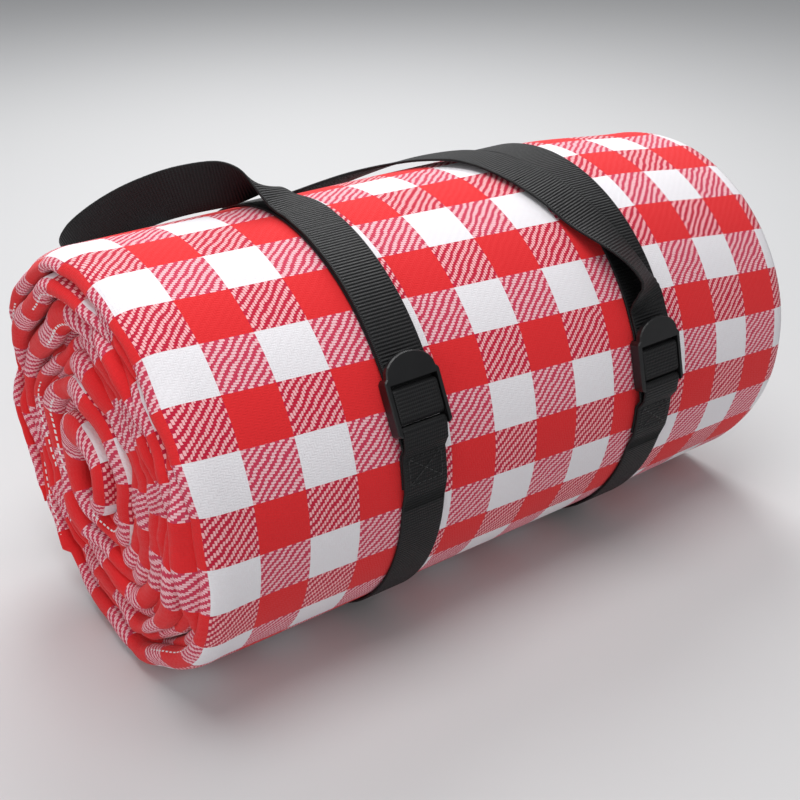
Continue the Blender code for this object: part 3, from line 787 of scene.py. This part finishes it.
def threaded_rows(x, buckle_angle, top_x, twist):
    """From under the loop's end, up through the buckle, back out and up to the handle's seam."""
    half = WEB_THICK / 2
    over = MIDDLE_BAR_TOP + GAP + half
    out = CHANNEL_TOP - GAP - half
    rise = LOWER_SLOT_START + SLOT_MARGIN + half
    drop = UPPER_SLOT_END - SLOT_MARGIN - half
    start = u_to_angle(buckle_angle, LOOP_START_U)
    tip = u_to_angle(buckle_angle, TAIL_TIP_U)
    points = [on_roll(x, a, LOOP_RADIUS) for a in np.arange(start, tip, ROW_ANGLE)]
    corners = [(0.0075, half), (rise, half), (rise, over), (drop, over), (drop, out), (0.0080, out)]
    inside = [buckle_point(buckle_angle, u, h, x) for u, h in corners]
    points += round_corners([points[-1]] + inside, 0.0022)[1:]
    angles = np.append(np.arange(tip, SEAM_ANGLE, -ROW_ANGLE), SEAM_ANGLE)
    return level(points) + [tail_row((tip, x, top_x), angle, twist) for angle in angles]


def build_side(side, x, buckle_angle, top_x, twist, materials):
    """One side of the carrier: the loop, the webbing through the buckle, the stitches, the buckle."""
    loop = build_webbing(side + "_loop_webbing", level(loop_points(x, buckle_angle)),
                         materials["webbing"])
    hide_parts(side + "_loop_strap")
    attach(loop, "carrier")
    route = even_route(np.array(threaded_rows(x, buckle_angle, top_x, twist)), ROW_LENGTH)
    tail = build_webbing(side + "_threaded_webbing", route, materials["webbing"], 0.0003)
    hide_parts(side + "_strap_in_buckle", side + "_tail_strap")
    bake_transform(tail)
    build_stitches(side, x, buckle_angle, materials["thread"])
    dress_buckle(side, materials["buckle"])


def build_stitches(side, x, buckle_angle, material):
    """A sewn box with a cross in it, stitch by stitch."""
    half_x = 0.0092
    half_u = 0.0067
    spacing = 0.0032
    corners = [(-half_x, -half_u), (half_x, -half_u), (half_x, half_u), (-half_x, half_u)]
    runs = [(corners[k], corners[(k + 1) % 4]) for k in range(4)]
    runs += [(corners[0], corners[2]), (corners[1], corners[3])]
    mid_angle = u_to_angle(buckle_angle, BUCKLE_LENGTH + STITCH_MIDDLE)
    radius = LOOP_RADIUS + WEB_THICK * 1.5 + GAP + 0.0001
    edit = bmesh.new()
    for first, last in runs:
        length = math.dist(first, last)
        heading = math.atan2(last[1] - first[1], last[0] - first[0])
        count = round(length / spacing)
        for k in range(count):
            share = (k + 0.5) / count
            cx = first[0] + (last[0] - first[0]) * share
            cu = first[1] + (last[1] - first[1]) * share
            angle = mid_angle + math.degrees(cu / LOOP_RADIUS)
            ball = bmesh.ops.create_uvsphere(edit, u_segments=10, v_segments=6, radius=1.0)["verts"]
            place_stitch(ball, on_roll(x + cx, angle, radius), angle, heading, length / count * 0.42)
    mesh = bpy.data.meshes.new(side + "_box_stitches")
    edit.to_mesh(mesh)
    edit.free()
    mesh.materials.append(material)
    stitches = link(side + "_box_stitches", mesh)
    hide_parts(side + "_box_stitch")
    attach(stitches, "carrier")


def place_stitch(verts, centre, angle, heading, half_length):
    """Squeeze a unit ball into one stitch that lies on the webbing."""
    half_width = 0.00026
    half_height = 0.00022
    a = math.radians(angle)
    outward = Vector((0.0, -math.sin(a), math.cos(a)))
    down = Vector((0.0, -math.cos(a), -math.sin(a)))
    along = Vector((1.0, 0.0, 0.0)) * math.cos(heading) + down * math.sin(heading)
    across = along.cross(outward)
    for vert in verts:
        px, py, pz = vert.co
        vert.co = (centre + along * (px * half_length) + across * (py * half_width)
                   + outward * (pz * half_height))


def dress_buckle(side, material):
    """The CAD buckle itself, with softened edges and a moulded finish."""
    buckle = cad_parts[side + "_buckle"]
    buckle.data.materials.clear()
    buckle.data.materials.append(material)
    bevel = buckle.modifiers.new("softened_edges", "BEVEL")
    bevel.width = 0.0005
    bevel.segments = 3
    bevel.limit_method = "ANGLE"
    bevel.angle_limit = math.radians(32.0)
    bevel.harden_normals = True


def build_handle(materials):
    """The carry handle, with the first stretch of each tail, as one swept run of webbing."""
    rows = [(*on_roll(x, angle, UPPER_RADIUS + lift), *across) for x, angle, lift, across in HANDLE_ROUTE]
    ends = []
    for _, x, buckle_angle, top_x, twist in SIDES:
        tip = u_to_angle(buckle_angle, TAIL_TIP_U)
        ends.append(tail_row((tip, x, top_x), SEAM_ANGLE, twist))
    route = smooth_route([ends[0]] + rows + [ends[1]], ROW_LENGTH)
    handle = build_webbing("carry_handle_webbing", route, materials["webbing"])
    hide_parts("carry_handle")
    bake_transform(handle)


# ---------------------------------------------------------------- stage

def build_stage():
    mesh = bpy.data.meshes.new("floor")
    size = 6.0
    mesh.from_pydata([(-size, -size, 0), (size, -size, 0), (size, size, 0), (-size, size, 0)], [],
                     [(0, 1, 2, 3)])
    mesh.materials.append(floor_material())
    floor = link("floor", mesh, smooth=False)
    floor.location.z = -0.0002


def add_light(name, location, target, size, power):
    data = bpy.data.lights.new(name, "AREA")
    data.shape = "DISK"
    data.size = size
    data.energy = power
    light = bpy.data.objects.new(name, data)
    bpy.context.scene.collection.objects.link(light)
    light.location = location
    light.rotation_euler = (Vector(target) - Vector(location)).to_track_quat("-Z", "Y").to_euler()


def light_scene():
    world = bpy.data.worlds.new("soft_sky")
    world.use_nodes = True
    background = world.node_tree.nodes["Background"]
    background.inputs["Color"].default_value = (0.95, 0.97, 1.0, 1.0)
    background.inputs["Strength"].default_value = 0.30
    bpy.context.scene.world = world
    bpy.context.scene.view_settings.view_transform = "Standard"
    add_light("top_back", (0.45, 0.80, 1.10), (0.0, 0.0, 0.15), 0.9, 12.0)
    add_light("overhead", (-0.20, -0.15, 1.35), (0.0, 0.0, 0.1), 0.8, 9.0)
    add_light("front_fill", (-0.5, -1.4, 1.0), (0.0, 0.0, 0.1), 0.9, 3.0)
    add_light("end_fill", (-1.4, -0.35, 0.7), (-0.15, 0.0, 0.1), 0.8, 3.5)


def add_camera():
    data = bpy.data.cameras.new("camera")
    data.lens = 54.652
    data.sensor_width = 36.0
    camera = bpy.data.objects.new("camera", data)
    bpy.context.scene.collection.objects.link(camera)
    camera.location = (-0.36634, -0.49028, 0.41325)
    camera.rotation_euler = (math.radians(61.464), 0.0, math.radians(-35.970))
    bpy.context.scene.camera = camera


def main():
    materials = {
        "face_cloth": gingham_material(),
        "backing": backing_material(),
        "binding": binding_material(),
        "webbing": webbing_material(),
        "buckle": buckle_material(),
        "thread": thread_material(),
    }
    for side, x, buckle_angle, top_x, twist in SIDES:
        build_side(side, x, buckle_angle, top_x, twist, materials)
    build_handle(materials)
    build_blanket(materials)
    build_stage()
    light_scene()
    add_camera()


main()
